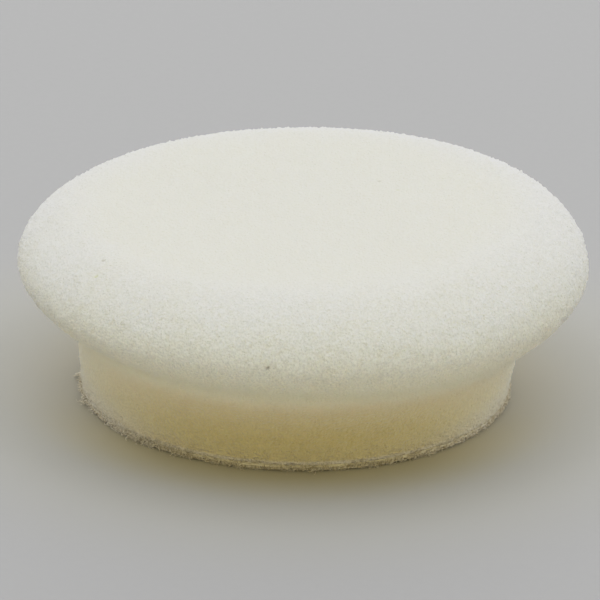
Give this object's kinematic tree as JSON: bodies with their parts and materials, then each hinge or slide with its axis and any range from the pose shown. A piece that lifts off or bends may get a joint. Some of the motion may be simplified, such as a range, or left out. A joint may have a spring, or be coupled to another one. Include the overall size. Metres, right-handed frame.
{
  "type": "polishing pad",
  "caption": "Round foam polishing pad with a flat working face, a rounded shoulder, an undercut down to a narrower neck, and a loop-fabric back.",
  "frame": {"origin": "centre of the loop face, where the pad meets its backing plate", "axes": "+Z along the axis of rotation, from the loop face to the working face; the part is round, so +X is any radius"},
  "size_m": [0.15, 0.15, 0.0503],
  "materials": {
    "foam": "matte",
    "hot_melt_film": "satin",
    "knit_ground": "matte",
    "loop_yarn": "matte"
  },
  "bodies": {
    "root": {"foam_body": "foam", "adhesive_film": "hot_melt_film", "loop_ground_fabric": "knit_ground", "loop_pile": "loop_yarn"}
  },
  "joints": []
}
